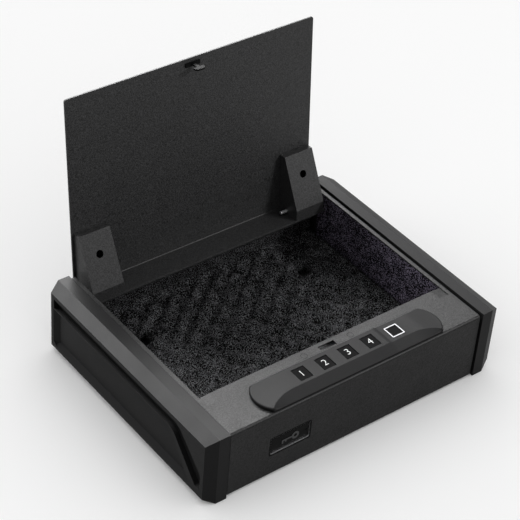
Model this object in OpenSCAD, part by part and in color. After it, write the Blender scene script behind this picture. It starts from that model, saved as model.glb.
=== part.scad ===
/* [Case] */
// Width over both end caps
case_w = 380; // [360:1:400]
// Depth of the end caps, front to rear
case_d = 286; // [276:1:300]
// Height from the floor to the tops of the end caps
case_h = 86; // [84:0.5:90]
// Thickness of the steel sheet of the case
sheet = 1.5; // [1.2:0.1:1.8]
// How far the steel stands back from the end caps, front and rear
recess = 2; // [1:0.5:3]
// Depth of the keypad deck at the front of the case
deck_d = 61.5; // [60:0.5:64]
// Height of the rear wall that is left below the lid's rear flange
rear_wall_top = 48.2; // [44:0.1:48.4]

/* [End caps] */
// Thickness of an end cap, side to side
cap_t = 25.8; // [22:0.1:28]
// Width of the cap's long bevels
cap_bevel_w = 12.6; // [8:0.1:14]
// Height of the cap's long bevels
cap_bevel_h = 7.3; // [4:0.1:9]
// Depth of the cap's bevels on its front and rear corners
cap_bevel_d = 6; // [3:0.1:8]
// Groove left between the steel and the cap's rim
cap_gap = 2; // [1:0.1:2.5]

/* [Lid] */
// Thickness of the lid's steel plate
lid_t = 2; // [1.5:0.1:2.5]
// Lid plate's inside length, from the rear flange to the free edge
lid_len = 229.5; // [225:0.5:229.5]
// Depth of the lid's rear flange, measured inside
lid_flange = 33; // [30:0.5:33]
// Angle that the open lid has turned from closed
lid_open_angle = 94.8; // [80:0.1:98]

/* [Hinge] */
// Distance of the hinge axis in front of the lid's rear flange
hinge_back = 4.5; // [4:0.1:6]
// Distance of the hinge axis below the closed lid's plate
hinge_down = 14.7; // [12:0.1:16]
// Radius of the hinge pins
pin_r = 2; // [1.8:0.1:2.5]
// Width of each hinge bracket
bracket_w = 38.5; // [34:0.5:42]
// Length of a hinge bracket along the lid
bracket_len = 71; // [64:0.5:76]
// Height of a hinge bracket's thin end
bracket_end_h = 9; // [7:0.5:12]

/* [Keypad] */
// Height of the keypad housing above the deck
keypad_h = 5.5; // [5:0.1:6]
// Width of one number button
button_w = 15.2; // [13:0.1:16]
// Depth of one number button, front to rear
button_d = 17.4; // [15:0.1:18]
// Distance between neighbouring buttons
button_pitch = 29.6; // [28:0.1:30]
// Travel of a button
button_travel = 1; // [0.5:0.1:1.2]

/* [Locking] */
// Travel of the locking bar
bar_travel = 5.5; // [5:0.1:5.5]
// Half of the angle that the motor's crank turns through
crank_half_angle = 35; // [30:1:35]
// Width of the key cover
key_cover_w = 48.4; // [44:0.1:50]
// Height of the key cover
key_cover_h = 20.4; // [18:0.1:22]

/* [Mounting] */
// Distance between the anchor holes, side to side
anchor_x = 220; // [180:5:240]
// Distance between the anchor holes, front to rear
anchor_y = 150; // [120:5:150]
// Radius of the anchor holes
anchor_r = 4; // [3:0.25:5]

/* [Hidden] */
$fn = 48;
fit = 0.05;

foot_h = 2.5;
cap_z0 = 0.5;
floor_z = foot_h + sheet;
deck_z = case_h - 2.75;
half_w = case_w / 2;
cap_x = half_w - cap_t;
side_x = cap_x - cap_gap;
side_in = side_x - sheet;
rim_x = side_x - 4.3;
front_in = recess + sheet;
rear_y = case_d - recess;
rear_in = rear_y - sheet;
bend_r = 3;

lid_half = rim_x - 0.6;
lid_top = deck_z + lid_t;
lid_rear = 276.3;
lid_front = lid_rear - lid_len;
hinge_y = lid_rear - hinge_back;
hinge_z = deck_z - hinge_down;
flange_z = deck_z - lid_flange;

bracket_x1 = lid_half - 2.8;
bracket_x0 = bracket_x1 - bracket_w;
bracket_front = lid_rear - 12.5;
bracket_tip = lid_rear - bracket_len;
bracket_tip_z = deck_z - bracket_end_h;
bracket_slope = (bracket_tip_z - flange_z) / (bracket_front - bracket_tip);

latch_x = -2.5;
latch_y = 53.9;
slot_w = 20;
slot_d = 6.4;
screw_dx = 30.2;
dip = 1.1;

keypad_x = 1.5;
keypad_half = 118.5;
keypad_y0 = 4.5;
keypad_y1 = 45.5;
keypad_mid = (keypad_y0 + keypad_y1) / 2;
keypad_end_r = 27.8;
keypad_top = deck_z + keypad_h;
crease_y = 18;
front_lip = 1.5;
button_x0 = -54.5;
button_y = 30.4;
sensor_x = 66.5;
sensor_w = 16.7;
scoop = 1.2;

board_z = 75.6;
board_t = 1.6;

bar_z = 73.3;
bar_t = 2;
bar_half = 5;
crank_x = 48;
crank_y = 49.5;
crank_r = bar_travel / (2 * sin(crank_half_angle));

key_x = -86.4;
key_z = 39.4;
cam_y = 49.5;
cam_len = 9;
ear_edge = key_x - 9.6;

cell_r = 7.25;
cell_len = 50.5;
cells_x = 113;
cells_z = 38;
door_w = 60;
door_z0 = 29;
door_z1 = 47.5;
door_pin_y = 1.2;

lining = 5;
side_lining = 3;
side_lining_end = 267.5;
foam_top = 22;
well = 18;
anchor_mid = 150;

// The open lid's free edge reaches furthest back, and the frame's origin is half way to it
edge_dy = lid_front - hinge_y;
edge_dz = lid_top - hinge_z;
open_d = hinge_y + edge_dy * cos(lid_open_angle) + edge_dz * sin(lid_open_angle);
front_y = -open_d / 2;

steel = [0.17, 0.17, 0.18];
cap_grey = [0.22, 0.22, 0.23];
plastic = [0.13, 0.13, 0.14];
foam = [0.07, 0.07, 0.08];
zinc = [0.7, 0.7, 0.72];

// ---- helpers ----

function unit(v) = v / norm(v);

// One corner of an outline, rounded to radius r with an arc of n steps
function corner_arc(before, p, after, r, n) =
    let (a = unit(before - p), b = unit(after - p), half = acos(a * b) / 2)
    let (c = p + unit(a + b) * r / sin(half), s = p + a * r / tan(half) - c, e = p + b * r / tan(half) - c)
    let (turn = 180 - 2 * half)
    [for (k = [0:n]) c + (s * sin(turn * (1 - k / n)) + e * sin(turn * k / n)) / sin(turn)];

// An outline whose corners are rounded to the radii in r
function rounded(pts, r, n = 6) =
    [for (i = [0:len(pts) - 1])
        each (r[i] == 0 ? [pts[i]]
            : corner_arc(pts[(i + len(pts) - 1) % len(pts)], pts[i], pts[(i + 1) % len(pts)], r[i], n))];

function box_outline(x0, y0, x1, y1) = [[x0, y0], [x1, y0], [x1, y1], [x0, y1]];

module place() {
    translate([0, front_y, 0]) children();
}

// A block between two corners
module block(a, b) {
    translate(a) cube(b - a);
}

// An outline in Y and Z, pushed out along X
module along_x(x0, x1) {
    translate([x0, 0, 0]) rotate([90, 0, 90]) linear_extrude(x1 - x0) children();
}

// An outline in X and Z, pushed out along Y
module along_y(y0, y1) {
    translate([0, y1, 0]) rotate([90, 0, 0]) linear_extrude(y1 - y0) children();
}

// A round bar along X, Y or Z from a point
module rod_x(p, r, l) {
    translate(p) rotate([0, 90, 0]) cylinder(r = r, h = l);
}

module rod_y(p, r, l) {
    translate(p) rotate([-90, 0, 0]) cylinder(r = r, h = l);
}

module rod_z(p, r, l) {
    translate(p) cylinder(r = r, h = l);
}

module on_side(s) {
    mirror([s < 0 ? 1 : 0, 0, 0]) children();
}

// Turns what is drawn on the closed lid to the open lid's place
module swung_open() {
    translate([0, hinge_y, hinge_z])
        rotate([-lid_open_angle, 0, 0])
            translate([0, -hinge_y, -hinge_z])
                children();
}

// ---- case ----

cap_screw_at = [[30, 18], [30, 62], [240, 32], [240, 62]];

module base_tray() {
    color(steel) place() difference() {
        union() {
            block([-side_in, front_in, foot_h], [side_in, rear_y, floor_z]);
            block([-side_in, rear_in, floor_z], [side_in, rear_y, rear_wall_top]);
            block([-side_in, 268, rear_wall_top - sheet], [side_in, rear_in, rear_wall_top]);
            block([-side_in, front_in, floor_z], [side_in, front_in + sheet, floor_z + 10]);
        }
        for (sx = [-1, 1], sy = [-1, 1])
            rod_z([sx * anchor_x / 2, anchor_mid + sy * anchor_y / 2, foot_h - 1], anchor_r, sheet + 2);
    }
}

// Front wall and deck are one bent sheet, with the bend drawn as a quarter ring
module front_profile() {
    translate([recess + bend_r, deck_z - bend_r]) intersection() {
        difference() {
            circle(bend_r);
            circle(bend_r - sheet);
        }
        translate([-bend_r, 0]) square(bend_r);
    }
    translate([recess, foot_h]) square([sheet, deck_z - bend_r - foot_h]);
    translate([recess + bend_r, deck_z - sheet]) square([deck_d - recess - bend_r, sheet]);
}

// The deck's rear corners dip where the lid's corners come down
module corner_dip() {
    along_y(lid_front + 1, deck_d) polygon([
        [rim_x - 12, deck_z], [rim_x, deck_z - dip],
        [rim_x, deck_z - dip - sheet], [rim_x - 12, deck_z - sheet]
    ]);
}

module front_panel() {
    color(steel) place() {
        difference() {
            along_x(-side_x, side_x) front_profile();
            block([-85, 12, deck_z - 3], [85, 42, deck_z + 1]);
            block([latch_x - slot_w / 2, latch_y - slot_d / 2, deck_z - 3],
                  [latch_x + slot_w / 2, latch_y + slot_d / 2, deck_z + 1]);
            for (s = [-1, 1]) {
                rod_z([latch_x + s * screw_dx, latch_y, deck_z - 3], 1.7, 5);
                translate([latch_x + s * screw_dx, latch_y, deck_z - 1.2])
                    cylinder(r1 = 1.9, r2 = 3.5, h = 1.22);
            }
            for (s = [-1, 1], y = [16, 38])
                rod_z([keypad_x + s * 98, y, deck_z - 3], 1.7, 5);
            along_y(recess - 1, front_in + 1)
                polygon(rounded(
                    box_outline(key_x - 26.4, key_z - 12.4, key_x + 26.4, key_z + 12.4), [3, 3, 3, 3]));
            for (s = [0, 1])
                mirror([s, 0, 0])
                    block([rim_x - 12, lid_front + 1, deck_z - 3], [rim_x, deck_d + 1, deck_z + 1]);
        }
        corner_dip();
        mirror([1, 0, 0]) corner_dip();
    }
}

module side_plate(s) {
    color(steel) place() on_side(s) difference() {
        union() {
            block([side_in, front_in, foot_h], [side_x, deck_d, deck_z - bend_r]);
            block([side_in, recess + bend_r, foot_h], [side_x, deck_d, deck_z - sheet]);
            block([side_in, deck_d, foot_h], [side_x, rear_y, deck_z]);
            block([rim_x, deck_d, deck_z - sheet], [side_in, rear_y, deck_z]);
        }
        rod_x([side_in - 1, hinge_y, hinge_z], pin_r + fit, 4);
        for (p = cap_screw_at)
            rod_x([side_in - 1, p[0], p[1]], 2.2, 4);
    }
}

module electronics_partition() {
    color(steel) place() difference() {
        union() {
            block([-side_in + 1, deck_d - 1, floor_z], [side_in - 1, deck_d, deck_z - sheet]);
            block([-side_in + 1, deck_d - 8, floor_z], [side_in - 1, deck_d - 1, floor_z + 1]);
            // ears that carry the battery door's pins
            for (s = [-1, 1])
                block([cells_x + s * (door_w / 2 + 1.6) - 1.2, deck_d, door_z1 - 1.7],
                      [cells_x + s * (door_w / 2 + 1.6) + 1.2, deck_d + 2.8, door_z1 + 1.7]);
        }
        for (s = [-1, 1])
            block([s * (rim_x - 6) - 6.5, deck_d - 2, deck_z - 4],
                  [s * (rim_x - 6) + 6.5, deck_d + 1, deck_z]);
        block([cells_x - door_w / 2 + 1, deck_d - 2, door_z0 + 1],
              [cells_x + door_w / 2 - 1, deck_d + 1, door_z1 - 1.5]);
        rod_x([cells_x - door_w / 2 - 4, deck_d + door_pin_y, door_z1], 1 + fit, door_w + 8);
    }
}

// ---- end caps ----

// The relief on the cap's side: outlines in Y and Z, and depths
groove_pts = [
    [274.5, 61.5], [274.5, 73.5], [49.6, 73.5], [12, 38],
    [11, 34], [11, 16.5], [18.6, 17], [59.5, 61.5]
];
groove_r = [1, 1, 20, 3, 3, 1, 3, 18];
groove_depth = 5.5;
pocket_pts = [[275.5, 60.2], [275.5, 16.5], [268, 11], [27, 11], [62.5, 60.2]];
pocket_r = [1, 3, 3, 2, 18];
pocket_depth = 4;
pocket_rear_slope = 7.5;
pocket_low_slope = 5.8;

module cap_shell_outline() {
    polygon([
        [cap_x, cap_z0], [half_w - cap_bevel_w, cap_z0], [half_w, cap_z0 + cap_bevel_h],
        [half_w, case_h - cap_bevel_h], [half_w - cap_bevel_w, case_h], [cap_x, case_h]
    ]);
}

module cap_plan() {
    polygon([
        [cap_x, 0], [half_w - cap_bevel_w, 0], [half_w, cap_bevel_d],
        [half_w, case_d - cap_bevel_d], [half_w - cap_bevel_w, case_d], [cap_x, case_d]
    ]);
}

// Pocket whose rear and lower walls slope
module cap_pocket() {
    x0 = half_w - pocket_depth;
    rear = pocket_pts[0][0];
    low = pocket_pts[3][1];
    difference() {
        along_x(x0, half_w + 1) polygon(rounded(pocket_pts, pocket_r));
        along_y(0, case_d) polygon([
            [half_w, low], [x0, low + pocket_low_slope],
            [x0 - 1, low + pocket_low_slope], [x0 - 1, low - 1], [half_w, low - 1]
        ]);
        linear_extrude(case_h) polygon([
            [half_w, rear], [x0, rear - pocket_rear_slope],
            [x0 - 1, rear - pocket_rear_slope], [x0 - 1, rear + 1], [half_w, rear + 1]
        ]);
    }
}

module end_cap(s) {
    color(cap_grey) place() on_side(s) difference() {
        union() {
            difference() {
                intersection() {
                    along_y(0, case_d) cap_shell_outline();
                    linear_extrude(case_h) cap_plan();
                }
                // hollow behind the rim
                block([cap_x - 1, 4, cap_z0 + 4], [cap_x + 16, case_d - 4, case_h - 4]);
                along_x(half_w - groove_depth, half_w + 1) polygon(rounded(groove_pts, groove_r));
                cap_pocket();
            }
            // rib that meets the side plate, and the screw bosses
            difference() {
                block([side_x, 8, cap_z0 + 8], [cap_x + 17, case_d - 8, case_h - 8]);
                block([side_x - 1, 11, cap_z0 + 11], [cap_x + 18, case_d - 11, case_h - 11]);
            }
            for (p = cap_screw_at)
                rod_x([side_x, p[0], p[1]], 5, cap_gap + 17);
        }
        for (p = cap_screw_at)
            rod_x([side_x - 1, p[0], p[1]], 1.5, 12);
        rod_x([side_x - 1, hinge_y, hinge_z], 5, 6);
    }
}

module end_cap_screws() {
    color(zinc) place() for (s = [-1, 1], p = cap_screw_at) on_side(s) {
        rod_x([side_in - 1.8, p[0], p[1]], 3.4, 1.8);
        rod_x([side_in, p[0], p[1]], 1.5, 10);
    }
}

module rubber_feet() {
    color(plastic) place() for (x = [-130, 130], y = [30, 256])
        rod_z([x, y, 0], 9, foot_h);
}

// ---- foam ----

module foam_base() {
    color(foam) place() difference() {
        block([-side_in + 0.3, deck_d + 0.3, floor_z], [side_in - 0.3, rear_in - 0.3, foam_top]);
        for (sx = [-1, 1], sy = [-1, 1])
            translate([sx * anchor_x / 2, anchor_mid + sy * anchor_y / 2, floor_z - 1])
                block([-well / 2, -well / 2, 0], [well / 2, well / 2, foam_top]);
    }
}

module foam_lining(s) {
    color(foam) place() on_side(s) difference() {
        block([side_in - side_lining, deck_d + 0.5, foam_top],
              [side_in, side_lining_end, deck_z - sheet - 0.5]);
        for (p = cap_screw_at)
            rod_x([side_in - 2.6, p[0], p[1]], 4.2, 4);
    }
}

module rear_foam_lining() {
    color(foam) place()
        block([-side_in + 1, rear_in - lining, foam_top],
              [side_in - 1, rear_in, rear_wall_top - sheet - 0.2]);
}

// ---- lid ----

module lid_profile() {
    translate([lid_front, deck_z]) square([lid_rear + lid_t - bend_r - lid_front, lid_t]);
    translate([lid_rear, flange_z]) square([lid_t, lid_top - bend_r - flange_z]);
    translate([lid_rear + lid_t - bend_r, lid_top - bend_r]) intersection() {
        difference() {
            circle(bend_r);
            circle(bend_r - lid_t);
        }
        square(bend_r);
    }
}

module lid_panel() {
    color(steel) place() swung_open() intersection() {
        along_x(-lid_half, lid_half) lid_profile();
        linear_extrude(case_h + 10) polygon(rounded(
            box_outline(-lid_half, lid_front, lid_half, lid_rear + lid_t + 1), [3, 3, 0, 0]));
    }
}

// A folded wedge, open towards the lid's plate and its rear flange
module hinge_bracket(s) {
    run = sqrt(1 + bracket_slope * bracket_slope);
    skin = sheet * run;
    tip_in = bracket_tip + sheet;
    front_z = flange_z + skin;
    hole_y = lid_rear - 48;
    hole_z = flange_z + (bracket_front - hole_y) * bracket_slope;
    color(steel) place() swung_open() on_side(s) difference() {
        along_x(bracket_x0, bracket_x1) polygon([
            [lid_rear - 1, deck_z], [lid_rear, deck_z - 1], [lid_rear, flange_z], [bracket_front, flange_z],
            [bracket_tip, bracket_tip_z], [bracket_tip, deck_z]
        ]);
        along_x(bracket_x0 + sheet, bracket_x1 - sheet) polygon([
            [lid_rear + 1, deck_z + 1], [lid_rear + 1, flange_z + sheet],
            [bracket_front + (front_z - flange_z - sheet) / bracket_slope, flange_z + sheet],
            [tip_in, bracket_tip_z - sheet * bracket_slope + skin], [tip_in, deck_z + 1]
        ]);
        rod_x([bracket_x0 - 1, hinge_y, hinge_z], pin_r + fit, bracket_w + 2);
        translate([(bracket_x0 + bracket_x1) / 2, hole_y, hole_z])
            rotate([-atan(bracket_slope), 0, 0]) translate([0, 0, -5]) cylinder(r = 4.3, h = 10);
    }
}

module hinge_pin(s) {
    color(zinc) place() on_side(s) {
        rod_x([bracket_x0 - 9, hinge_y, hinge_z], pin_r, side_x - bracket_x0 + 9);
        rod_x([side_x, hinge_y, hinge_z], 4.5, 1.7);
    }
}

// A round wire swept along a list of points
module wire(path, r, sides) {
    n = len(path);
    rings = [for (i = [0:n - 1])
        let (t = unit(path[min(i + 1, n - 1)] - path[max(i - 1, 0)]))
        let (side = unit(cross(t, abs(t[0]) < 0.9 ? [1, 0, 0] : [0, 1, 0])), up = cross(side, t))
        for (k = [0:sides - 1]) path[i] + r * (side * cos(360 * k / sides) + up * sin(360 * k / sides))];
    walls = [for (i = [0:n - 2], k = [0:sides - 1])
        let (k2 = (k + 1) % sides)
        [i * sides + k, i * sides + k2, (i + 1) * sides + k2, (i + 1) * sides + k]];
    first = [for (k = [sides - 1:-1:0]) k];
    last = [for (k = [0:sides - 1]) (n - 1) * sides + k];
    polyhedron(points = rings, faces = concat([first], walls, [last]), convexity = 8);
}

spring_r = 3;
spring_wire = 0.55;
spring_turns = 14;
spring_steps = 10;
spring_len = 30;

module torsion_spring(s) {
    start = (bracket_x0 + bracket_x1 - spring_len) / 2;
    coil = [for (k = [0:spring_turns * spring_steps])
        [start + spring_len * k / (spring_turns * spring_steps),
         hinge_y + spring_r * cos(360 * k / spring_steps),
         hinge_z + spring_r * sin(360 * k / spring_steps)]];
    leg = [start + spring_len, lid_rear - spring_wire - 0.1, hinge_z + 11];
    color(zinc) place() swung_open() on_side(s)
        wire(concat([[start - 0.3, hinge_y + spring_r, hinge_z - 3]], coil, [leg]), spring_wire, 6);
}

// Foot plate on the lid, and a neck and head that drop through the deck's slot
module lid_striker() {
    head_z1 = bar_z - 0.7;
    head_z0 = head_z1 - 5.5;
    color(zinc) place() swung_open() translate([latch_x, latch_y, 0]) {
        block([-9.2, -2.4, deck_z - 1.5], [9.2, 2.4, deck_z]);
        along_y(-1, 1) polygon([
            [-2, deck_z - 1.5], [-2, head_z1], [-6.5, head_z1], [-6.5, head_z0 + 2.5], [-4, head_z0],
            [4, head_z0], [6.5, head_z0 + 2.5], [6.5, head_z1], [2, head_z1], [2, deck_z - 1.5]
        ]);
    }
}

// ---- keypad ----

// Plan of the keypad housing: straight front and rear, round ends
function keypad_plan(inset) =
    let (r = keypad_end_r - inset, h = keypad_mid - keypad_y0 - inset, cx = keypad_half - keypad_end_r)
    [for (s = [-1, 1], k = [-10:10])
        let (a = asin(h / r) * k / 10)
        [keypad_x + s * (cx + r * cos(a)), keypad_mid + s * r * sin(a)]];

module keypad_housing() {
    color(plastic) place() difference() {
        union() {
            difference() {
                translate([0, 0, deck_z]) linear_extrude(keypad_h) polygon(keypad_plan(0));
                translate([0, 0, deck_z - 1]) linear_extrude(keypad_h - 1) polygon(keypad_plan(2));
                along_x(-case_w, case_w) polygon([
                    [keypad_y0 - 1, deck_z + front_lip - 0.25], [crease_y, keypad_top - 0.3],
                    [crease_y, keypad_top + 2], [keypad_y0 - 1, keypad_top + 2]
                ]);
            }
            // inner ramp under the front slope closes the shell there
            intersection() {
                translate([0, 0, deck_z]) linear_extrude(keypad_h) polygon(keypad_plan(0));
                along_x(-case_w, case_w) polygon([
                    [keypad_y0 + 2, deck_z], [keypad_y0, deck_z], [keypad_y0, deck_z + front_lip],
                    [crease_y, keypad_top - 0.3], [crease_y + 2, keypad_top - 0.3],
                    [crease_y + 2, keypad_top - 2.5]
                ]);
            }
            // screw bosses, and the posts that carry the board
            for (s = [-1, 1], y = [16, 38])
                rod_z([keypad_x + s * 98, y, deck_z], 4, keypad_h - (y < crease_y ? 2.2 : 1));
            for (x = [-80, 80], y = [15.5, 38.5])
                rod_z([x, y, board_z + board_t], 3,
                      keypad_top - board_z - board_t - (y < crease_y ? 2.2 : 1));
        }
        for (i = [0:3])
            translate([button_x0 + i * button_pitch, button_y, 0])
                block([-button_w / 2 - 0.25, -button_d / 2 - 0.25, deck_z - 1],
                      [button_w / 2 + 0.25, button_d / 2 + 0.25, keypad_top + 1]);
        block([sensor_x - sensor_w / 2, button_y - sensor_w / 2, deck_z - 1],
              [sensor_x + sensor_w / 2, button_y + sensor_w / 2, keypad_top + 1]);
        block([sensor_x - 12, button_y - 10.5, keypad_top - scoop],
              [sensor_x + 12, button_y + 10.5, keypad_top + 1]);
        for (s = [-1, 1], y = [16, 38])
            rod_z([keypad_x + s * 98, y, deck_z - 1], 1.1, 4);
        for (x = [-80, 80], y = [15.5, 38.5])
            rod_z([x, y, board_z], 1.1, 7);
    }
}

// Cap with a flange below the housing's skin, and a stem that presses its switch
module button(i) {
    x = button_x0 + (i - 1) * button_pitch;
    skin_z = keypad_top - 2;
    color([0.1, 0.1, 0.1]) place() {
        block([x - button_w / 2, button_y - button_d / 2, skin_z - 1],
              [x + button_w / 2, button_y + button_d / 2, keypad_top - 0.5]);
        block([x - button_w / 2 - 1.2, button_y - button_d / 2 - 1.2, skin_z - 1.2],
              [x + button_w / 2 + 1.2, button_y + button_d / 2 + 1.2, skin_z - 0.1]);
        rod_z([x, button_y, board_z + board_t + 2.6], 2, skin_z - 1.2 - board_z - board_t - 2.6);
    }
}

module fingerprint_bezel() {
    z1 = keypad_top - scoop + 0.3;
    color([0.85, 0.85, 0.86]) place() difference() {
        block([sensor_x - sensor_w / 2, button_y - sensor_w / 2, z1 - 2],
              [sensor_x + sensor_w / 2, button_y + sensor_w / 2, z1]);
        block([sensor_x - 5.8, button_y - 5.8, z1 - 3], [sensor_x + 5.8, button_y + 5.8, z1 + 1]);
    }
}

module fingerprint_sensor() {
    z1 = keypad_top - scoop;
    color([0.05, 0.05, 0.06]) place() {
        block([sensor_x - 5.8, button_y - 5.8, z1 - 1.7], [sensor_x + 5.8, button_y + 5.8, z1 - 0.1]);
        block([sensor_x - 7, button_y - 7, board_z + board_t], [sensor_x + 7, button_y + 7, z1 - 1.7]);
    }
}

module control_board() {
    color([0.05, 0.25, 0.12]) place() {
        difference() {
            block([-84, 12.5, board_z], [84, 41.5, board_z + board_t]);
            for (x = [-80, 80], y = [15.5, 38.5])
                rod_z([x, y, board_z - 1], 1.6, 4);
        }
        block([-14, 18, board_z - 2.4], [-4, 28, board_z]);
        block([52, 20, board_z - 3.6], [68, 26, board_z]);
    }
}

module tact_switches() {
    color([0.2, 0.2, 0.2]) place() for (i = [0:3])
        translate([button_x0 + i * button_pitch, button_y, board_z + board_t]) {
            block([-3, -3, 0], [3, 3, 1]);
            cylinder(r = 1.6, h = 1.5);
        }
}

module board_screws() {
    color(zinc) place() for (x = [-80, 80], y = [15.5, 38.5]) {
        rod_z([x, y, board_z - 1.4], 2.6, 1.4);
        rod_z([x, y, board_z], 1.1, 6);
    }
}

module keypad_screws() {
    color(zinc) place() for (s = [-1, 1], y = [16, 38]) {
        rod_z([keypad_x + s * 98, y, deck_z - sheet - 1.6], 2.9, 1.6);
        rod_z([keypad_x + s * 98, y, deck_z - sheet], 1.1, sheet + 2.6);
    }
}

// ---- locking ----

// A channel that hangs from the deck and guides the locking bar
module latch_channel() {
    x0 = latch_x - 38;
    x1 = latch_x + 38;
    color(zinc) place() difference() {
        union() {
            block([x0, latch_y - 6.5, 75.7], [x1, latch_y + 6.5, 76.9]);
            for (s = [0, 1])
                translate([0, latch_y, 0]) mirror([0, s, 0]) {
                    block([x0, 5.3, 71.8], [x1, 6.5, 75.7]);
                    block([x0, 2.8, 71.8], [x1, 5.3, 73]);
                }
            for (s = [-1, 1])
                rod_z([latch_x + s * screw_dx, latch_y, 76.9], 4, deck_z - sheet - 76.9);
        }
        block([latch_x - 11, latch_y - 3.6, 75], [latch_x + 11, latch_y + 3.6, 78]);
        for (s = [-1, 1])
            rod_z([latch_x + s * screw_dx, latch_y, 75], 1.5, 8);
    }
}

// Flat bar with a slot for the striker, a slot for the crank, and an ear for the key's cam
module latch_bar() {
    color(zinc) place() {
        difference() {
            block([ear_edge - 10, latch_y - bar_half, bar_z],
                  [crank_x + 12, latch_y + bar_half, bar_z + bar_t]);
            block([latch_x - 8, latch_y - 2.7, bar_z - 1], [latch_x + 8, latch_y + 2.7, bar_z + bar_t + 1]);
            block([crank_x - bar_travel / 2 - 1.75, latch_y - 3.2, bar_z - 1],
                  [crank_x - bar_travel / 2 + 1.75, latch_y + 3.2, bar_z + bar_t + 1]);
        }
        block([ear_edge - 8, cam_y, key_z + 2], [ear_edge, cam_y + 2, bar_z]);
    }
}

module deck_screws() {
    color(zinc) place() for (s = [-1, 1]) translate([latch_x + s * screw_dx, latch_y, 0]) {
        rod_z([0, 0, 76], 1.5, deck_z - 1.1 - 76);
        translate([0, 0, deck_z - 1.1]) cylinder(r1 = 1.5, r2 = 3.3, h = 1.05);
    }
}

module motor_bracket() {
    color(zinc) place() difference() {
        union() {
            block([crank_x - 12, 34, 66], [crank_x + 12, deck_d - 1, 67.2]);
            block([crank_x - 12, deck_d - 2.2, 52], [crank_x + 12, deck_d - 1, 66]);
        }
        rod_z([crank_x, crank_y, 65], 3.2, 4);
    }
}

module latch_motor() {
    color([0.55, 0.55, 0.57]) place() {
        block([crank_x - 10, crank_y - 11, 54], [crank_x + 10, crank_y + 9, 66]);
        rod_z([crank_x, crank_y - 3, 28], 8, 26);
        rod_z([crank_x, crank_y, 66], 3, 1.6);
        rod_z([crank_x, crank_y, 66], 1.2, 4);
    }
}

// Crank on the motor's shaft, with the pin that slides the locking bar
module motor_crank() {
    color([0.8, 0.8, 0.75]) place() {
        difference() {
            rod_z([crank_x, crank_y, 68], 6.8, 3.2);
            rod_z([crank_x, crank_y, 67], 1.2 + fit, 3.2);
        }
        translate([crank_x, crank_y, 0]) rotate([0, 0, crank_half_angle])
            rod_z([0, crank_r, 71.2], 1.5, 4.4);
    }
}

module key_bezel() {
    x0 = key_x - key_cover_w / 2;
    x1 = key_x + key_cover_w / 2;
    z0 = key_z - key_cover_h / 2;
    z1 = key_z + key_cover_h / 2;
    color(plastic) place() difference() {
        union() {
            along_y(recess + 0.2, 8.5)
                polygon(rounded(box_outline(x0 - 2.2, z0 - 2.2, x1 + 2.2, z1 + 2.2), [3, 3, 3, 3]));
            along_y(front_in, 5)
                polygon(rounded(box_outline(x0 - 5, z0 - 5, x1 + 5, z1 + 5), [4, 4, 4, 4]));
        }
        along_y(recess - 1, 7)
            polygon(rounded(box_outline(x0 - 0.3, z0 - 0.3, x1 + 0.3, z1 + 0.3), [2, 2, 2, 2]));
        rod_y([key_x, 6, key_z], 9.1, 4);
    }
}

// Snap-in cover with a raised key sign
module key_cover() {
    x0 = key_x - key_cover_w / 2;
    x1 = key_x + key_cover_w / 2;
    z0 = key_z - key_cover_h / 2;
    z1 = key_z + key_cover_h / 2;
    y0 = recess + 1.4;
    color(plastic) place() {
        difference() {
            along_y(y0, y0 + 1.4) polygon(rounded(box_outline(x0, z0, x1, z1), [2, 2, 2, 2]));
            rod_y([x1 - 3.2, y0 - 1, key_z], 1.2, 1.6);
        }
        along_y(y0 - 0.4, y0) {
            translate([key_x + 7, key_z]) difference() {
                circle(4.6);
                circle(2);
            }
            translate([key_x - 10, key_z - 1]) square([13, 2]);
            translate([key_x - 10, key_z - 4]) square([2, 3]);
            translate([key_x - 6, key_z - 3]) square([2, 2]);
        }
        for (x = [x0 + 1, x1 - 2.2])
            block([x, y0 + 1.4, key_z - 4], [x + 1.2, y0 + 3.2, key_z + 4]);
    }
}

module lock_body() {
    color(zinc) place() difference() {
        union() {
            rod_y([key_x, 7.2, key_z], 9, 24.8);
            rod_y([key_x, 8.5, key_z], 12, 3);
        }
        rod_y([key_x, 6, key_z], 6 + fit, 30);
    }
}

// Plug with its keyway, and the stem that carries the cam
module lock_plug() {
    color([0.8, 0.7, 0.45]) place() difference() {
        union() {
            rod_y([key_x, 7.2, key_z], 6, 26);
            rod_y([key_x, 33.2, key_z], 3, cam_y - 33.2);
            rod_y([key_x, cam_y, key_z], 1.95, 4.5);
        }
        block([key_x - 0.6, 6, key_z - 3.6], [key_x + 0.6, 20, key_z + 3.6]);
    }
}

module lock_cam() {
    color(zinc) place() {
        difference() {
            union() {
                rod_y([key_x, cam_y, key_z], 4, 2);
                block([key_x - 2.5, cam_y, key_z], [key_x + 2.5, cam_y + 2, key_z + cam_len]);
            }
            rod_y([key_x, cam_y - 1, key_z], 2, 4);
        }
        difference() {
            rod_y([key_x, cam_y + 2, key_z], 3.4, 2.2);
            rod_y([key_x, cam_y + 1, key_z], 2, 4);
        }
    }
}

// ---- power ----

module battery_box() {
    x0 = cells_x - 31.5;
    x1 = cells_x + 31.5;
    y0 = 5.4;
    y1 = deck_d - 1;
    color(plastic) place() difference() {
        block([x0, y0, cells_z - 9.2], [x1, y1, cells_z + 9.2]);
        block([x0 + 1.2, y0 + 1.2, cells_z - 8], [x1 - 1.2, y1 + 1, cells_z + 8]);
    }
}

module batteries() {
    color([0.25, 0.25, 0.28]) place() for (i = [0:3]) {
        x = cells_x + (i - 1.5) * 15;
        rod_y([x, 7.6, cells_z], cell_r, cell_len - 1.5);
        rod_y([x, 6.8, cells_z], 2.7, 0.8);
    }
}

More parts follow.
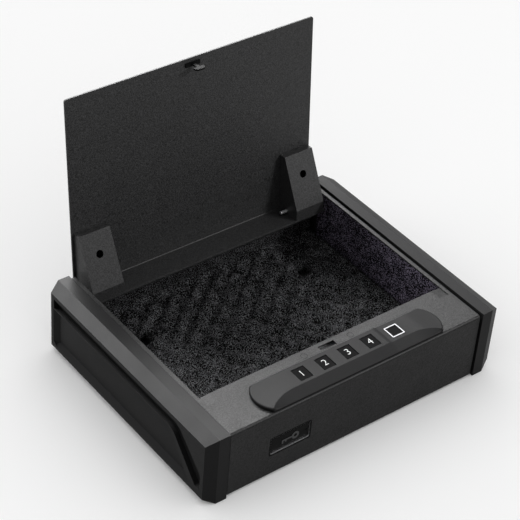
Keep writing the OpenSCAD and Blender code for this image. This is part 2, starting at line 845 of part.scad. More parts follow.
// Door that hangs from its top edge on pins in the partition's ears
module battery_door() {
    color(plastic) place() {
        difference() {
            block([cells_x - door_w / 2, deck_d + 0.1, door_z0],
                  [cells_x + door_w / 2, deck_d + 1.7, door_z1]);
            block([cells_x - 8, deck_d + 1, door_z0 + 1.5], [cells_x + 8, deck_d + 2, door_z0 + 4]);
        }
        rod_x([cells_x - door_w / 2 - 2.8, deck_d + door_pin_y, door_z1], 1, door_w + 5.6);
    }
}

// Leads from the board to the cells and to the motor
module wiring() {
    power = [
        [79, 24, 73.5], [84, 27, 71], [88, 30, 64],
        [89, 32, 56], [89, 32, 50], [89, 32, cells_z + 9.3]
    ];
    drive = [[60, 23, board_z - 3.7], [60, 24, 68], [61, 30, 61], [61, 36, 58.5], [58.6, 40, 58]];
    color([0.6, 0.1, 0.1]) place() {
        wire(power, 0.9, 8);
        wire(drive, 0.9, 8);
    }
}

base_tray();
front_panel();
side_plate(-1);  // left_side_plate
side_plate(1);  // right_side_plate
electronics_partition();
end_cap(-1);  // left_end_cap
end_cap(1);  // right_end_cap
end_cap_screws();
rubber_feet();
foam_base();
foam_lining(-1);  // left_foam_lining
foam_lining(1);  // right_foam_lining
rear_foam_lining();
lid_panel();
hinge_bracket(-1);  // left_hinge_bracket
hinge_bracket(1);  // right_hinge_bracket
hinge_pin(-1);  // left_hinge_pin
hinge_pin(1);  // right_hinge_pin
torsion_spring(-1);  // left_torsion_spring
torsion_spring(1);  // right_torsion_spring
lid_striker();
keypad_housing();
button(1);  // button_1
button(2);  // button_2
button(3);  // button_3
button(4);  // button_4
fingerprint_bezel();
fingerprint_sensor();
control_board();
tact_switches();
board_screws();
keypad_screws();
latch_channel();
latch_bar();
deck_screws();
motor_bracket();
latch_motor();
motor_crank();
key_bezel();
key_cover();
lock_body();
lock_plug();
lock_cam();
battery_box();
batteries();
battery_door();
wiring();
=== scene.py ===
import math

import bmesh
import bpy
import numpy as np
from mathutils import Matrix, Vector


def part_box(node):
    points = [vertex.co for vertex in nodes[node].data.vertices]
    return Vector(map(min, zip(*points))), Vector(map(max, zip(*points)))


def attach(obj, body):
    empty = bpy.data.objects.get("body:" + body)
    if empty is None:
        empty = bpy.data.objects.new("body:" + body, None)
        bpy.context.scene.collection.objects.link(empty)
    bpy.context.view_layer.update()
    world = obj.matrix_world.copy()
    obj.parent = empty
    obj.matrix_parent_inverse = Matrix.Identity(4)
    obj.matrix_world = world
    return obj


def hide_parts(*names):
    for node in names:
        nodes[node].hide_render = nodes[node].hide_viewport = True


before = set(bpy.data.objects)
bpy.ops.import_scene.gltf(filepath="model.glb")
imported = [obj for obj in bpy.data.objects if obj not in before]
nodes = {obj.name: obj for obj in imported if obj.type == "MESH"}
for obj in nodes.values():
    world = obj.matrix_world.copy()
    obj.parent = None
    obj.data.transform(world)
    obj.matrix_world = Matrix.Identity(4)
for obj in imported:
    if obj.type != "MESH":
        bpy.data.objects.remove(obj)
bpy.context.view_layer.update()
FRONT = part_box("left_end_cap")[0].y  # the end caps' front faces
MM = 0.001


def at(x, y, z):
    """A point given in millimetres, with y counted from the end caps' front faces."""
    return Vector((x * MM, FRONT + y * MM, z * MM))


# ---- materials ----

BLOTCH = 40.0  # noise scale of the slow changes in roughness


class Nodes:
    """A short way to build one material's node tree."""

    def __init__(self, name):
        self.mat = bpy.data.materials.new(name)
        self.mat.use_nodes = True
        self.tree = self.mat.node_tree
        self.bsdf = self.tree.nodes["Principled BSDF"]
        self.coord = self.tree.nodes.new("ShaderNodeTexCoord").outputs["Object"]

    def new(self, kind, **values):
        node = self.tree.nodes.new(kind)
        for key, value in values.items():
            if key in node.inputs:
                node.inputs[key].default_value = value
            else:
                setattr(node, key, value)
        return node

    def link(self, a, b):
        self.tree.links.new(a, b)

    def noise(self, scale, detail=3.0, roughness=0.55):
        n = self.new("ShaderNodeTexNoise", Scale=scale, Detail=detail, Roughness=roughness)
        self.link(self.coord, n.inputs["Vector"])
        return n.outputs["Fac"]

    def ramp(self, fac, stops):
        r = self.new("ShaderNodeValToRGB")
        while len(r.color_ramp.elements) < len(stops):
            r.color_ramp.elements.new(0.5)
        for e, (pos, c) in zip(r.color_ramp.elements, stops):
            e.position = pos
            e.color = (*c, 1)
        self.link(fac, r.inputs["Fac"])
        return r.outputs["Color"]

    def spread(self, fac, low, high):
        limits = {"From Min": 0.3, "From Max": 0.7, "To Min": low, "To Max": high}
        m = self.new("ShaderNodeMapRange", **limits)
        self.link(fac, m.inputs["Value"])
        return m.outputs["Result"]

    def bump(self, height, distance, strength=1.0, after=None):
        b = self.new("ShaderNodeBump", Distance=distance, Strength=strength)
        self.link(height, b.inputs["Height"])
        if after is not None:
            self.link(after, b.inputs["Normal"])
        return b.outputs["Normal"]


def grey(v):
    return (v, v, v * 1.02)


def textured(name, dark, light, rough, specular, grain, depth, coat=0.0, speck=0.21):
    """Powder coat and moulded plastic: a fine grain of bumps and shades, and a slowly varied roughness."""
    m = Nodes(name)
    b = m.bsdf
    b.inputs["Specular IOR Level"].default_value = specular
    b.inputs["Coat Weight"].default_value = coat
    fine = m.noise(grain, 4.0, 0.6)
    m.link(m.ramp(fine, [(0.51 - speck, dark), (0.51 + speck, light)]), b.inputs["Base Color"])
    m.link(m.spread(m.noise(BLOTCH), *rough), b.inputs["Roughness"])
    first = m.bump(m.noise(grain * 0.35, 2.0), depth * 2.0, 0.5)
    m.link(m.bump(fine, depth, 0.8, first), b.inputs["Normal"])
    return m.mat


def foam_material(name, dark, mid, light, grain):
    """Open-cell foam: dark cells, and flecks of painted highlight where cell walls catch the light."""
    m = Nodes(name)
    b = m.bsdf
    b.inputs["Roughness"].default_value = 0.95
    b.inputs["Specular IOR Level"].default_value = 0.02
    # One noise both bumps the cells and places the light flecks, which are painted highlight on the cell walls.
    cell_grain_and_glint = m.noise(grain, 1.0, 0.5)
    patch = m.noise(grain * 0.09, 2.0, 0.6)
    mixed = m.new("ShaderNodeMath", operation="MULTIPLY_ADD")
    mixed.inputs[1].default_value = 0.25
    m.link(patch, mixed.inputs[0])
    m.link(cell_grain_and_glint, mixed.inputs[2])
    colour = m.ramp(mixed.outputs["Value"], [(0.6, dark), (0.66, mid), (0.73, light)])
    m.link(colour, b.inputs["Base Color"])
    m.link(m.bump(cell_grain_and_glint, 0.0008, 0.8), b.inputs["Normal"])
    return m.mat


def metal(name, colour, rough, streak=(900.0, 900.0, 900.0)):
    """Plated or machined metal with fine streaks."""
    m = Nodes(name)
    b = m.bsdf
    b.inputs["Metallic"].default_value = 1.0
    scale = m.new("ShaderNodeMapping", Scale=streak)
    m.link(m.coord, scale.inputs["Vector"])
    n = m.new("ShaderNodeTexNoise", Scale=1.0, Detail=3.0)
    m.link(scale.outputs["Vector"], n.inputs["Vector"])
    fac = n.outputs["Fac"]
    m.link(m.ramp(fac, [(0.3, tuple(c * 0.8 for c in colour)), (0.7, colour)]), b.inputs["Base Color"])
    m.link(m.spread(fac, rough * 0.8, rough * 1.25), b.inputs["Roughness"])
    m.link(m.bump(fac, 0.00003, 0.5), b.inputs["Normal"])
    return m.mat


# Each row gives the dark and the light colour, the limits of roughness, the specular level, the grain's
# noise scale and the depth of its bumps in metres.
case_coat = textured(
    "case_powder_coat", grey(0.0), grey(0.009), (0.44, 0.5), 0.12, 760.0, 0.00016, speck=0.1)
# The lid's coat is the case's dark powder coat painted lighter and glossier, a painted light for the light its
# open inner face catches.
lid_coat_painted_lighter = textured(
    "lid_powder_coat_painted_lighter", grey(0.004), grey(0.019), (0.46, 0.52), 0.2, 760.0, 0.0001, speck=0.12)
cap_coat = textured("cap_moulded_plastic", grey(0.003), grey(0.006), (0.42, 0.46), 0.055, 1500.0, 0.00003)
keypad_coat = textured(
    "keypad_moulded_plastic", grey(0.004), grey(0.006), (0.44, 0.48), 0.045, 1500.0, 0.00002)
button_coat = textured("button_plastic", grey(0.0025), grey(0.004), (0.6, 0.66), 0.005, 1500.0, 0.00002)
cover_coat = textured("key_cover_plastic", grey(0.001), grey(0.002), (0.5, 0.55), 0.04, 1500.0, 0.00002)
sign_grey = textured("key_sign_grey", grey(0.02), grey(0.026), (0.5, 0.55), 0.1, 1500.0, 0.00001)
glass = textured("sensor_window", grey(0.001), grey(0.005), (0.6, 0.66), 0.01, 1500.0, 0.00001)
rubber = textured("foot_rubber", grey(0.01), grey(0.02), (0.7, 0.8), 0.3, 1500.0, 0.00006)
black_abs = textured("switch_plastic", grey(0.02), grey(0.03), (0.35, 0.5), 0.4, 1800.0, 0.00003)
print_white = textured(
    "printed_digit", (0.21, 0.21, 0.21), (0.25, 0.25, 0.25), (0.5, 0.6), 0.1, 1800.0, 0.00001)
ring_white = textured(
    "sensor_ring_print", (0.17, 0.17, 0.175), (0.22, 0.22, 0.225), (0.4, 0.48), 0.2, 1500.0, 0.00001)
board_mask = textured(
    "solder_mask", (0.006, 0.07, 0.03), (0.01, 0.12, 0.05), (0.25, 0.4), 0.5, 500.0, 0.00003)
acetal = textured(
    "acetal", (0.62, 0.6, 0.52), (0.72, 0.7, 0.62), (0.3, 0.4), 0.5, 900.0, 0.00002)
wire_red = textured(
    "wire_sleeve", (0.35, 0.01, 0.01), (0.45, 0.02, 0.02), (0.3, 0.4), 0.5, 900.0, 0.00002)
cell_wrap = textured(
    "cell_sleeve", (0.02, 0.02, 0.03), (0.05, 0.05, 0.07), (0.15, 0.25), 0.5, 200.0, 0.00001, coat=0.5)
# The light colour of each foam paints the highlight on its cell walls.
base_foam = foam_material(
    "base_foam", (0.0003, 0.0003, 0.0003), (0.004, 0.004, 0.0042), (0.05, 0.05, 0.052), 900.0)
wall_foam = foam_material(
    "wall_foam", (0.0008, 0.0007, 0.001), (0.007, 0.006, 0.008), (0.085, 0.075, 0.1), 950.0)
trim_metal = metal("bezel_trim", (0.5, 0.5, 0.51), 0.3)
zinc = metal("zinc_plate", (0.62, 0.62, 0.64), 0.3)
steel_pin = metal("pin_steel", (0.75, 0.75, 0.77), 0.34, (200.0, 2500.0, 2500.0))
spring_steel = metal("spring_steel", (0.5, 0.5, 0.52), 0.22)
brass = metal("lock_brass", (0.72, 0.55, 0.25), 0.28, (2500.0, 200.0, 2500.0))


# ---- pieces from the frame ----

def round_edges(o, width, angle):
    """Bevels the edges sharper than an angle in degrees."""
    b = o.modifiers.new("edge", "BEVEL")
    b.width = width
    b.segments = 2
    b.limit_method = "ANGLE"
    b.angle_limit = math.radians(angle)
    weigh_normals(o)


def weigh_normals(o):
    n = o.modifiers.new("normals", "WEIGHTED_NORMAL")
    n.keep_sharp = True


def dress(names, material, bevel=0.0):
    """Gives CAD nodes their material, and rounds their hard edges a little."""
    for name in names:
        o = nodes[name]
        o.data.materials.clear()
        o.data.materials.append(material)
        if bevel:
            weld = o.modifiers.new("weld", "WELD")
            weld.merge_threshold = 2e-6
            flat = o.modifiers.new("flat", "DECIMATE")
            flat.decimate_type = "DISSOLVE"
            flat.angle_limit = math.radians(0.5)
            round_edges(o, bevel, 28)


dress(["base_tray", "left_side_plate", "right_side_plate", "electronics_partition", "front_panel"],
      case_coat, 0.0003)
dress(["deck_screws"], case_coat, 0.00015)
dress(["left_end_cap", "right_end_cap"], cap_coat, 0.0006)
# The lid and its brackets get the lighter painted copy of the case coat.
dress(["lid_panel", "left_hinge_bracket", "right_hinge_bracket"], lid_coat_painted_lighter, 0.0003)
dress(["end_cap_screws", "board_screws", "keypad_screws", "latch_channel", "latch_bar",
       "motor_bracket", "lock_body", "lock_cam", "latch_motor"], zinc, 0.00015)
dress(["lid_striker"], cover_coat, 0.0003)
dress(["key_bezel", "key_cover", "fingerprint_bezel"], cover_coat, 0.0002)
dress(["left_hinge_pin", "right_hinge_pin"], steel_pin, 0.0002)
dress(["rubber_feet"], rubber, 0.0004)
dress(["lock_plug"], brass, 0.00015)
dress(["motor_crank"], acetal, 0.0002)
dress(["battery_box", "battery_door"], black_abs, 0.0002)
dress(["tact_switches"], black_abs, 0.0001)
dress(["fingerprint_sensor"], glass, 0.0002)
dress(["control_board"], board_mask)
dress(["batteries"], cell_wrap, 0.0004)
dress(["wiring"], wire_red)


# ---- tools for new pieces ----

def add_piece(name, data, body):
    """Places a mesh or a curve in the scene as an object that rides on a CAD body."""
    o = bpy.data.objects.new(name, data)
    bpy.context.scene.collection.objects.link(o)
    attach(o, body)
    return o


def add_mesh(name, bm, body, material, smooth=True):
    """Turns bm into a piece of its own."""
    me = bpy.data.meshes.new(name)
    bm.to_mesh(me)
    bm.free()
    if smooth:
        me.polygons.foreach_set("use_smooth", [True] * len(me.polygons))
    me.materials.append(material)
    return add_piece(name, me, body)


def soft_block(bm, lo, hi, radius, segments=3):
    """Adds a block with rounded edges to bm."""
    made = bmesh.ops.create_cube(bm, size=1.0)
    for v in made["verts"]:
        v.co = Vector((lo[k] + (v.co[k] + 0.5) * (hi[k] - lo[k]) for k in range(3)))
    edges = list({e for v in made["verts"] for e in v.link_edges})
    bmesh.ops.bevel(bm, geom=edges, offset=radius, segments=segments, affect="EDGES")


def skin_loops(bm, rows):
    """Adds a ring-shaped skin through closed rows of points, joined from the last row back to the first."""
    rings = [[bm.verts.new(p) for p in row] for row in rows]
    n = len(rows[0])
    for a, b in zip(rings, rings[1:] + rings[:1]):
        for k in range(n):
            bm.faces.new((a[k], b[k], b[(k + 1) % n], a[(k + 1) % n]))


def add_ring(name, rows, material):
    """A piece of the case that is only one ring-shaped skin."""
    bm = bmesh.new()
    skin_loops(bm, rows)
    bmesh.ops.recalc_face_normals(bm, faces=bm.faces[:])
    add_mesh(name, bm, "safe_body", material, smooth=False)


def circle(r, count):
    """Points round a circle, in two dimensions."""
    angles = [2 * math.pi * k / count for k in range(count)]
    return [(r * math.cos(w), r * math.sin(w)) for w in angles]


def round_rect(cx, cy, half_w, half_h, r, steps=6):
    """Points round a rectangle with rounded corners, in two dimensions."""
    out = []
    for q, (sx, sy) in enumerate(((1, 1), (-1, 1), (-1, -1), (1, -1))):
        for k in range(steps + 1):
            w = math.pi / 2 * (q + k / steps)
            x = cx + sx * (half_w - r) + r * math.cos(w)
            y = cy + sy * (half_h - r) + r * math.sin(w)
            out.append((x, y))
    return out


# ---- foam ----

def wave_noise(p, seed, scale, octaves=3):
    """Smooth seeded noise between about -1 and 1 at points p, in units of scale."""
    rng = np.random.default_rng(seed)
    total = np.zeros(len(p))
    size = 1.0
    for _ in range(octaves):
        for _ in range(6):
            d = rng.normal(size=3)
            d *= 2 * math.pi / (scale * size) / np.linalg.norm(d)
            total += math.sqrt(size) * np.sin(p @ d + rng.uniform(0, 2 * math.pi)) / 6
        size *= 0.5
    return total


def grid_lines(lo, hi, step, edges=(), fine=()):
    """Lines from lo to hi about step apart, with one exactly on each of edges and close ones by the ends."""
    marks = [lo, *(lo + f for f in fine), *sorted(edges), *(hi - f for f in reversed(fine)), hi]
    out = [lo]
    for a, b in zip(marks, marks[1:]):
        n = max(1, round((b - a) / step))
        out += [a + (b - a) * (k + 1) / n for k in range(n)]
    return np.array(out)


def foam_piece(name, node, front, back, skip, material):
    """Two skins over one grid, joined round the outline and round each hole that skip leaves out."""
    nu, nv = front.shape[:2]
    verts = front.reshape(-1, 3).tolist() + back.reshape(-1, 3).tolist()
    low = nu * nv
    faces = []
    rim = set()
    for i in range(nu - 1):
        for j in range(nv - 1):
            if skip[i, j]:
                continue
            k = i * nv + j
            quad = (k, k + nv, k + nv + 1, k + 1)
            faces.append(quad)
            faces.append(tuple(low + q for q in quad[::-1]))
            for e in zip(quad, quad[1:] + quad[:1]):
                if e[::-1] in rim:
                    rim.remove(e[::-1])
                else:
                    rim.add(e)
    faces += [(e[1], e[0], low + e[0], low + e[1]) for e in sorted(rim)]
    bm = bmesh.new()
    bv = [bm.verts.new(v) for v in verts]
    for f in faces:
        bm.faces.new([bv[k] for k in f])
    bmesh.ops.delete(bm, geom=[v for v in bm.verts if not v.link_faces], context="VERTS")
    bmesh.ops.recalc_face_normals(bm, faces=bm.faces[:])
    o = add_mesh(name, bm, "safe_body", material)
    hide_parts(node)


def edge_distance(U, V, us, vs):
    """How far each grid point is from the nearest edge."""
    return np.minimum.reduce([U - us[0], us[-1] - U, V - vs[0], vs[-1] - V])


def eggcrate_base():
    """Convoluted foam on the tray, with a square well over each anchor hole."""
    lo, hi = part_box("foam_base")
    well = 0.009  # half a well's width
    margin = 0.0003
    step = 0.0016
    pitch = 0.0185
    crest_gap = 0.0012  # the crests stay this far under the CAD block's top
    pit_depth = 0.0062
    border = 0.011  # the pits fade out over this width
    centres = [(sx * 0.110, FRONT + 0.150 + sy * 0.075) for sx in (-1, 1) for sy in (-1, 1)]
    well_xs = {x + s * well for x, _ in centres for s in (-1, 1)}
    well_ys = {y + s * well for _, y in centres for s in (-1, 1)}
    us = grid_lines(lo.x + margin, hi.x - margin, step, well_xs)
    vs = grid_lines(lo.y + margin, hi.y - margin, step, well_ys)
    U, V = np.meshgrid(us, vs, indexing="ij")
    flat = np.stack([U, V, np.zeros_like(U)], -1).reshape(-1, 3)
    drift = 0.0022 * wave_noise(flat, 21, 0.06).reshape(U.shape)
    a = 2 * math.pi * (U * 0.76 + V * 0.65 + drift) / pitch
    b = 2 * math.pi * (U * 0.65 - V * 0.76 - drift) / pitch
    lump = (np.cos(a) + np.cos(b)) / 4 + 0.5
    inward = np.clip((edge_distance(U, V, us, vs) - 0.001) / border, 0, 1)
    fade = inward * inward * (3 - 2 * inward)
    top = hi.z - crest_gap - pit_depth * (1 - lump) ** 1.1 * fade
    front = np.stack([U, V, top], -1)
    pts = front.reshape(-1, 3)
    rough = 0.0007 * wave_noise(pts, 3, 0.012) + 0.0005 * wave_noise(pts, 4, 0.005)
    front[..., 2] = np.minimum(top + rough.reshape(U.shape), hi.z - 0.0001)
    back = np.stack([U, V, np.full_like(U, lo.z)], -1)
    mid_u, mid_v = (us[1:] + us[:-1]) / 2, (vs[1:] + vs[:-1]) / 2
    skip = np.zeros((len(mid_u), len(mid_v)), bool)
    for x, y in centres:
        skip |= (np.abs(mid_u - x) < well)[:, None] & (np.abs(mid_v - y) < well)[None, :]
    foam_piece("eggcrate_foam", "foam_base", front, back, skip, base_foam)


def lining(name, node, thin, inner, seed, material):
    """A flat foam sheet with soft edges and an uneven face. thin is the axis across it, inner its open side."""
    lo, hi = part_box(node)
    edge_r = 0.0013
    margin = 0.0002
    axes = [k for k in range(3) if k != thin]
    near = (0.0002, 0.0006, edge_r)
    us, vs = (grid_lines(lo[k] + margin, hi[k] - margin, 0.003, fine=near) for k in axes)
    U, V = np.meshgrid(us, vs, indexing="ij")
    flat = np.stack([U, V, np.zeros_like(U)], -1).reshape(-1, 3)
    depth = 0.0006 + 0.0003 * wave_noise(flat, seed, 0.02).reshape(U.shape)
    inward = np.maximum(0, edge_r - edge_distance(U, V, us, vs))
    depth += edge_r - np.sqrt(np.maximum(0, edge_r * edge_r - inward ** 2))
    face, wall = (hi[thin], lo[thin]) if inner > 0 else (lo[thin], hi[thin])
    front = np.zeros((*U.shape, 3))
    front[..., axes[0]], front[..., axes[1]], front[..., thin] = U, V, face - inner * depth
    back = front.copy()
    back[..., thin] = wall + inner * 0.0001
    skip = np.zeros((len(us) - 1, len(vs) - 1), bool)
    foam_piece(name, node, front, back, skip, material)


eggcrate_base()
lining("left_wall_foam", "left_foam_lining", 0, 1, 11, wall_foam)
lining("right_wall_foam", "right_foam_lining", 0, -1, 12, wall_foam)
lining("rear_wall_foam", "rear_foam_lining", 1, -1, 13, base_foam)


# ---- keypad, in millimetres ----

KEY_X = 1.5  # the housing's middle
KEY_Y0, KEY_Y1 = 4.5, 45.5  # its front and rear edges
KEY_MID = (KEY_Y0 + KEY_Y1) / 2
END_R = 27.8  # radius of each end in plan
END_X = 118.5 - END_R  # from the middle to that arc's centre
INNER_X = 78.0  # from the middle to where the crease begins to bend forward
CREASE_Y = 18.0  # the line between the front slope and the top
DECK_Z = 83.25
TOP_Z = DECK_Z + 5.5
TOP_GAP = 0.25  # the skin stays this far under the CAD housing's top
END_DROP = 1.3  # how far the top falls towards each end
SCOOP = 0.95  # depth of the hollow round the sensor
LIP = 1.6  # height of the slope's front edge above the deck
EDGE_R = 1.7
FRONT_R = 0.8
BUTTON_X = [-54.5 + 29.6 * i for i in range(4)]
BUTTON_Y = 30.4
BUTTON_W, BUTTON_D = 15.2, 17.4
BUTTON_GAP = 0.25
BUTTON_Z0, BUTTON_Z1 = 85.4, 88.1
SKIRT = 1.2  # how far a button's hidden skirt reaches past its sides
DIGIT_SIZE = 0.0122
SENSOR_X = 66.5
SENSOR_HALF = 8.35


def ease(t):
    t = max(0.0, min(1.0, t))
    return t * t * (3 - 2 * t)


def end_arc(y):
    """Half the length of an end arc's chord at y, so that END_X + end_arc(y) is the outline."""
    return math.sqrt(END_R ** 2 - (y - KEY_MID) ** 2)


def edge_drop(inset, r):
    """How far an edge rounded by r has dropped at a distance inset from the outline."""
    return r - math.sqrt(max(0.0, r * r - max(0.0, r - max(inset, 0.0)) ** 2))


def housing_height(x, y, crease):
    """Height of the housing's skin at a plan point. crease is where the front slope meets the top there."""
    side = abs(x - KEY_X)
    past_sensor = x - SENSOR_X
    top = TOP_Z - TOP_GAP - END_DROP * ease((side - 62) / 60) ** 1.5
    top -= SCOOP * ease((past_sensor + 15.5) / 0.8) * ease((30 - past_sensor) / 20)
    z = top
    if y < crease:
        lip = DECK_Z + LIP
        z = lip + (top - lip) * (y - KEY_Y0) / max(crease - KEY_Y0, 0.01)
    inset = min(KEY_Y1 - y, (END_X + end_arc(y) - side) * end_arc(y) / END_R)
    z -= edge_drop(inset, EDGE_R)
    z -= edge_drop(y - KEY_Y0, FRONT_R) * 0.8
    return max(z, DECK_Z)


def keypad_windows():
    """The openings for the buttons and the sensor, each as its x and y limits."""
    half_w, half_d = BUTTON_W / 2 + BUTTON_GAP, BUTTON_D / 2 + BUTTON_GAP
    openings = [(x, half_w, half_d) for x in BUTTON_X] + [(SENSOR_X, SENSOR_HALF, SENSOR_HALF)]
    return [(x - w, x + w, BUTTON_Y - d, BUTTON_Y + d) for x, w, d in openings]


def in_window(windows, x, y, slack=0.0):
    for x0, x1, y0, y1 in windows:
        if x0 - slack <= x <= x1 + slack and y0 - slack <= y <= y1 + slack:
            return True
    return False


def snapped(values, marks, gap):
    """values with a line exactly on each mark, and no other closer to it than gap."""
    for mark in marks:
        values = {v for v in values if abs(v - mark) > gap} | {round(mark, 4)}
    return sorted(values)


def keypad_columns(windows):
    """Plan columns as a base x and a share of the way from there to the end arc."""
    marks = [e - KEY_X for w in windows for e in w[:2]]
    xs = snapped(set(np.round(np.linspace(-INNER_X, INNER_X, 85), 4)), marks, 0.5)
    ends = [0.06 * k for k in range(1, 14)]
    ends += [0.83, 0.87, 0.9, 0.925, 0.945, 0.96, 0.972, 0.982, 0.99, 0.996, 1.0]
    left = [(-INNER_X, s) for s in reversed(ends)]
    return left + [(x, 0.0) for x in xs] + [(INNER_X, s) for s in ends]


def keypad_rows(windows):
    """Plan rows as whether they lie on the front slope, and a share of the way across their part."""
    slope = [0, 0.015, 0.035, 0.06, 0.12, 0.25, 0.4, 0.55, 0.7, 0.85, 0.93, 0.975, 1.0]
    ys = set(np.round(np.linspace(CREASE_Y, KEY_Y1, 28), 4))
    ys |= {CREASE_Y + d for d in (0.35, 0.8)}
    ys |= {KEY_Y1 - d for d in (1.5, 1.1, 0.7, 0.4, 0.2, 0.08)}
    ys = snapped(ys, sorted({e for w in windows for e in w[2:]}), 0.35)
    top = [(y - CREASE_Y) / (KEY_Y1 - CREASE_Y) for y in ys if y > CREASE_Y]
    return [(True, t) for t in slope] + [(False, t) for t in top]


def keypad_housing():
    windows = keypad_windows()
    columns = keypad_columns(windows)
    rows = keypad_rows(windows)
    verts = []
    for base, s in columns:
        crease = CREASE_Y - (CREASE_Y - KEY_Y0 - 0.4) * s ** 1.7
        for on_slope, t in rows:
            start, end = (KEY_Y0, crease) if on_slope else (crease, KEY_Y1)
            y = start + t * (end - start)
            x = base
            if s > 0:
                x = math.copysign(INNER_X + s * (END_X + end_arc(y) - INNER_X), base)
            x += KEY_X
            verts.append(at(x, y, housing_height(x, y, crease)))
    nv = len(rows)
    bm = bmesh.new()
    bv = [bm.verts.new(v) for v in verts]
    for i in range(len(columns) - 1):
        for j in range(nv - 1):
            a = i * nv + j
            quad = (a, a + nv, a + nv + 1, a + 1)
            c = sum((verts[k] for k in quad), Vector()) / 4
            if not in_window(windows, c.x / MM, (c.y - FRONT) / MM):
                bm.faces.new([bv[k] for k in quad])
    bmesh.ops.delete(bm, geom=[v for v in bm.verts if not v.link_faces], context="VERTS")
    made = bmesh.ops.extrude_edge_only(bm, edges=[e for e in bm.edges if e.is_boundary])
    for v in [g for g in made["geom"] if isinstance(g, bmesh.types.BMVert)]:
        inside = in_window(windows, v.co.x / MM, (v.co.y - FRONT) / MM, 0.01)
        v.co.z = (TOP_Z - 2.6) * MM if inside else DECK_Z * MM
    bmesh.ops.recalc_face_normals(bm, faces=bm.faces[:])
    o = add_mesh("keypad_shell", bm, "safe_body", keypad_coat)
    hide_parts("keypad_housing")
    round_edges(o, 0.00022, 50)


def key_block(bm, x, reach, z0, z1, radius, segments=3):
    """Adds a block round a button's middle that reaches past its sides by reach."""
    half_w, half_d = BUTTON_W / 2 + reach, BUTTON_D / 2 + reach
    lo = at(x - half_w, BUTTON_Y - half_d, z0)
    hi = at(x + half_w, BUTTON_Y + half_d, z1)
    soft_block(bm, lo, hi, radius, segments)


def button(i):
    """A key with its hidden skirt and the stem that presses its switch."""
    x = BUTTON_X[i]
    bm = bmesh.new()
    key_block(bm, x, 0.0, BUTTON_Z0, BUTTON_Z1, 0.0006)
    key_block(bm, x, SKIRT, BUTTON_Z0 + 0.15, BUTTON_Z0 + 1.2, 0.0002, 2)
    stem_r, stem_h, stem_z = 2 * MM, 5.8 * MM, 82.75
    stem = bmesh.ops.create_cone(
        bm, cap_ends=True, segments=32, radius1=stem_r, radius2=stem_r, depth=stem_h)
    bmesh.ops.translate(bm, verts=stem["verts"], vec=at(x, BUTTON_Y, stem_z))
    o = add_mesh(f"key_{i + 1}", bm, f"button_{i + 1}", button_coat)
    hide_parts(f"button_{i + 1}")
    weigh_normals(o)


def digit(i):
    """The number printed on a key's top."""
    text = bpy.data.curves.new("digit", "FONT")
    text.body = str(i + 1)
    text.size = DIGIT_SIZE
    text.align_x = "CENTER"
    text.align_y = "CENTER"
    text.extrude = 0.00003
    text.offset = -0.0002  # thins the strokes
    t = bpy.data.objects.new("digit", text)
    bpy.context.scene.collection.objects.link(t)
    bpy.context.view_layer.update()
    me = bpy.data.meshes.new_from_object(t.evaluated_get(bpy.context.evaluated_depsgraph_get()))
    bpy.data.objects.remove(t)
    me.transform(Matrix.Translation(at(BUTTON_X[i], BUTTON_Y, BUTTON_Z1 + 0.02)))
    me.materials.clear()
    me.materials.append(print_white)
    add_piece(f"digit_{i + 1}", me, f"button_{i + 1}")


keypad_housing()
for i in range(4):
    button(i)
    digit(i)


# ---- printed ring, painted screw shadows and bezel liner ----

COVER_X, COVER_Z = -86.4, 39.4  # the key cover's middle, in millimetres
COVER_HALF_W, COVER_HALF_H = 24.2, 10.2
SCREW_MID_X, SCREW_DX, SCREW_Y = -2.5, 30.2, 53.9


def sensor_ring():
    """The pale printed frame round the fingerprint window."""
    lo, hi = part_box("fingerprint_bezel")
    cx, cy = (lo.x + hi.x) / 2, (lo.y + hi.y) / 2
    half = (hi.x - lo.x) / 2
    outer, inner, rise = 0.0003, 0.0015, 0.00005
    rows = []
    for inset, up in ((outer, -rise), (outer + rise, rise), (inner, rise), (inner + rise, -rise)):
        outline = round_rect(cx, cy, half - inset, half - inset, max(0.0012 - inset, 0.0004))
        rows.append([Vector((x, y, hi.z + up)) for x, y in outline])
    add_ring("sensor_frame_print", rows, ring_white)


def screw_shadow_rings():
    """A painted dark ring of shadow round each deck screw's head."""
    foot, crown = DECK_Z + 0.002, DECK_Z + 0.025
    for i, sx in enumerate((-1, 1)):
        x = SCREW_MID_X + SCREW_DX * sx
        profile = ((3.75, foot), (3.7, crown), (3.15, crown), (3.1, foot))
        rows = [[at(x + dx, SCREW_Y + dy, z) for dx, dy in circle(r, 40)] for r, z in profile]
        add_ring(f"deck_screw_shadow_ring_{i + 1}", rows, cover_coat)


def bezel_liner():
    """The bright sloping liner between the key bezel and its cover."""
    rows = []
    for gap, y, r in ((0.29, 2.22, 2.0), (0.06, 3.36, 1.75), (0.29, 3.5, 2.0)):
        outline = round_rect(COVER_X, COVER_Z, COVER_HALF_W + gap, COVER_HALF_H + gap, r)
        rows.append([at(x, y, z) for x, z in outline])
    add_ring("key_bezel_liner", rows, trim_metal)


def key_sign():
    """The pale key on the cover: a ring, a shaft and two teeth, a hair in front of the moulded ones."""
    front, back = 2.94, 3.03
    ring_x = COVER_X + 7
    bm = bmesh.new()
    profile = ((4.65, back), (4.6, front), (2.0, front), (1.95, back))
    skin_loops(bm, [[at(ring_x + dx, y, COVER_Z + dz) for dx, dz in circle(r, 48)] for r, y in profile])
    shaft = (-10, 2.6, -1, 1)
    teeth = ((-10, -8, -4, -1), (-6, -4, -3, -1))
    for x0, x1, z0, z1 in (shaft, *teeth):
        lo, hi = at(COVER_X + x0, front, COVER_Z + z0), at(COVER_X + x1, back, COVER_Z + z1)
        soft_block(bm, lo, hi, 0.00002, 1)
    bmesh.ops.recalc_face_normals(bm, faces=bm.faces[:])
    add_mesh("key_sign", bm, "key_cover", sign_grey, smooth=False)


sensor_ring()
screw_shadow_rings()
bezel_liner()
key_sign()


# ---- springs ----

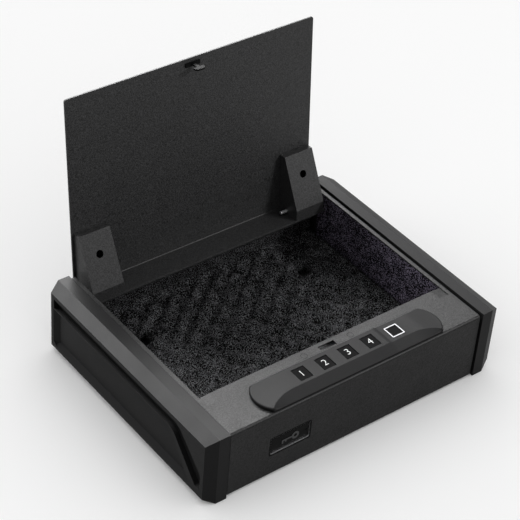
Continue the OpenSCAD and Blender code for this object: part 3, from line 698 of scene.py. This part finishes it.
def spring(side, name):
    """A wound wire that takes the place of the CAD node's faceted one, open with the lid."""
    pin_lo, pin_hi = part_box(f"{name}_hinge_pin")
    cy, cz = (pin_lo.y + pin_hi.y) / 2, (pin_lo.z + pin_hi.z) / 2
    start, length = 120.25 * MM, 30 * MM
    coil_r, wire_r = 3.0 * MM, 0.55 * MM
    turns, per_turn = 14, 20
    leg_y, leg_z = 3.85 * MM, 11 * MM
    lid_angle = math.radians(-94.8)
    count = turns * per_turn
    pts = []
    for k in range(count + 1):
        w = 2 * math.pi * k / per_turn
        pts.append((start + length * k / count, coil_r * math.cos(w), coil_r * math.sin(w)))
    pts.append((start + length, leg_y, leg_z))
    curve = bpy.data.curves.new(name + "_coil", "CURVE")
    curve.dimensions = "3D"
    curve.bevel_depth = wire_r
    curve.bevel_resolution = 4
    curve.use_fill_caps = True
    line = curve.splines.new("POLY")
    line.points.add(len(pts) - 1)
    turn = Matrix.Rotation(lid_angle, 3, "X")
    for q, p in zip(line.points, pts):
        x, y, z = turn @ Vector(p)
        q.co = (side * x, cy + y, cz + z, 1)
    curve.materials.append(spring_steel)
    o = add_piece(name + "_coil", curve, "lid")
    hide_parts(f"{name}_torsion_spring")


spring(-1, "left")
spring(1, "right")


# ---- floor, light and camera ----

def floor():
    me = bpy.data.meshes.new("floor")
    s, z = 30.0, -0.0003
    me.from_pydata([(-s, -s, z), (s, -s, z), (s, s, z), (-s, s, z)], [], [(0, 1, 2, 3)])
    m = Nodes("floor_paper")
    m.bsdf.inputs["Base Color"].default_value = (0.96, 0.96, 0.96, 1)
    m.bsdf.inputs["Roughness"].default_value = 0.9
    m.bsdf.inputs["Specular IOR Level"].default_value = 0.1
    me.materials.append(m.mat)
    o = bpy.data.objects.new("floor", me)
    bpy.context.scene.collection.objects.link(o)
    return o


off_floor = bpy.data.collections.new("off_floor")
off_floor.objects.link(floor())
off_floor.collection_objects[0].light_linking.link_state = "EXCLUDE"


def area(name, place, size, power):
    """A softbox aimed at the safe. It doesn't reach the floor, which has only the room's soft shadow."""
    light = bpy.data.lights.new(name, "AREA")
    light.shape = "RECTANGLE"
    light.size, light.size_y = size
    light.energy = power
    o = bpy.data.objects.new(name, light)
    o.location = place
    o.rotation_euler = (Vector((0, 0, 0.1)) - Vector(place)).to_track_quat("-Z", "Y").to_euler()
    o.light_linking.receiver_collection = off_floor
    bpy.context.scene.collection.objects.link(o)


area("key", (0.8, 1.95, 2.0), (1.5, 1.4), 270)
area("upper_left", (-0.8, 1.7, 2.2), (1.1, 1.1), 270)
area("front_right", (1.7, -2.0, 2.0), (0.8, 0.3), 110)

scene = bpy.context.scene
scene.view_settings.view_transform = "Standard"
scene.world = bpy.data.worlds.new("studio")
scene.world.use_nodes = True
background = scene.world.node_tree.nodes["Background"]
background.inputs["Color"].default_value = (1, 1, 1, 1)
background.inputs["Strength"].default_value = 1.0

CAMERA_PLACE = (-0.93896, -1.09046, 1.25543)
CAMERA_AHEAD = (0.507637, 0.600371, -0.617947)
CAMERA_ROLL = math.radians(-4.8353)


def camera():
    """The camera looks along CAMERA_AHEAD and is rolled a little from level."""
    ahead = Vector(CAMERA_AHEAD).normalized()
    level = ahead.cross(Vector((0, 0, 1))).normalized()
    right = Matrix.Rotation(CAMERA_ROLL, 3, ahead) @ level
    up = right.cross(ahead)
    cam = bpy.data.cameras.new("camera")
    cam.lens = 122.36
    cam.sensor_width = 36.0
    cam.clip_end = 100.0
    o = bpy.data.objects.new("camera", cam)
    turn = Matrix((right, up, -ahead)).transposed().to_4x4()
    o.matrix_world = Matrix.Translation(CAMERA_PLACE) @ turn
    scene.collection.objects.link(o)
    scene.camera = o


camera()
